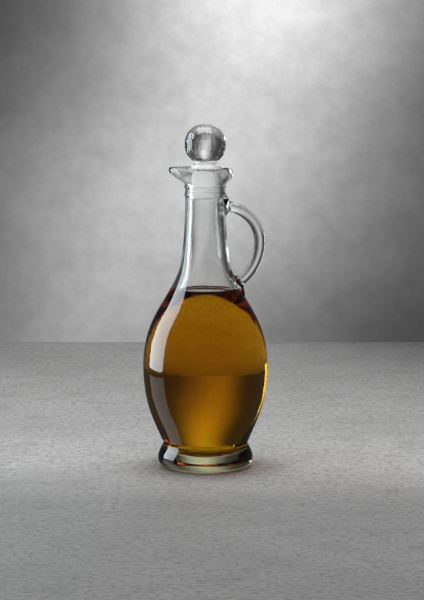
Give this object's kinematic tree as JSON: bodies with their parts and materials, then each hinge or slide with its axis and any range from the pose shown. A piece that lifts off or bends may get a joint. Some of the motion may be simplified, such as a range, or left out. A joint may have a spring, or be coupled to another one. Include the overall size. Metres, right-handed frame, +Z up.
{
  "type": "oil cruet bottle",
  "caption": "Footed clear glass cruet with a pouring spout, an applied glass rod handle and a faceted ball stopper in a soft plug, part-filled with golden oil.",
  "frame": {"origin": "centre of the foot, on the surface that the bottle stands on", "axes": "+Z up along the bottle's axis; the pouring spout points along -X and the handle stands on the +X side"},
  "size_m": [0.0688, 0.0688, 0.19],
  "materials": {
    "clear_glass": "polished clear soda-lime glass, faintly wavy",
    "handle_glass": "fire-polished clear glass rod with rippled fused ends",
    "stopper_glass": "moulded clear glass with polished facets",
    "plug_plastic": "soft translucent white polyethylene, satin",
    "olive_oil": "clear golden liquid"
  },
  "bodies": {
    "vessel": {"bottle": "clear_glass", "handle": "handle_glass", "oil": "olive_oil"},
    "plug": {"stopper_plug": "plug_plastic"},
    "stopper": {"glass_stopper": "stopper_glass"}
  },
  "joints": [
    {"name": "stopper_lift", "type": "slide", "parent": "vessel", "child": "plug", "axis": [0, 0, 1], "range_m": [0, 0.04]},
    {"name": "stopper_turn", "type": "hinge", "parent": "plug", "child": "stopper", "pos_m": [0, 0, 0.179], "axis": [0, 0, 1], "continuous": true}
  ]
}
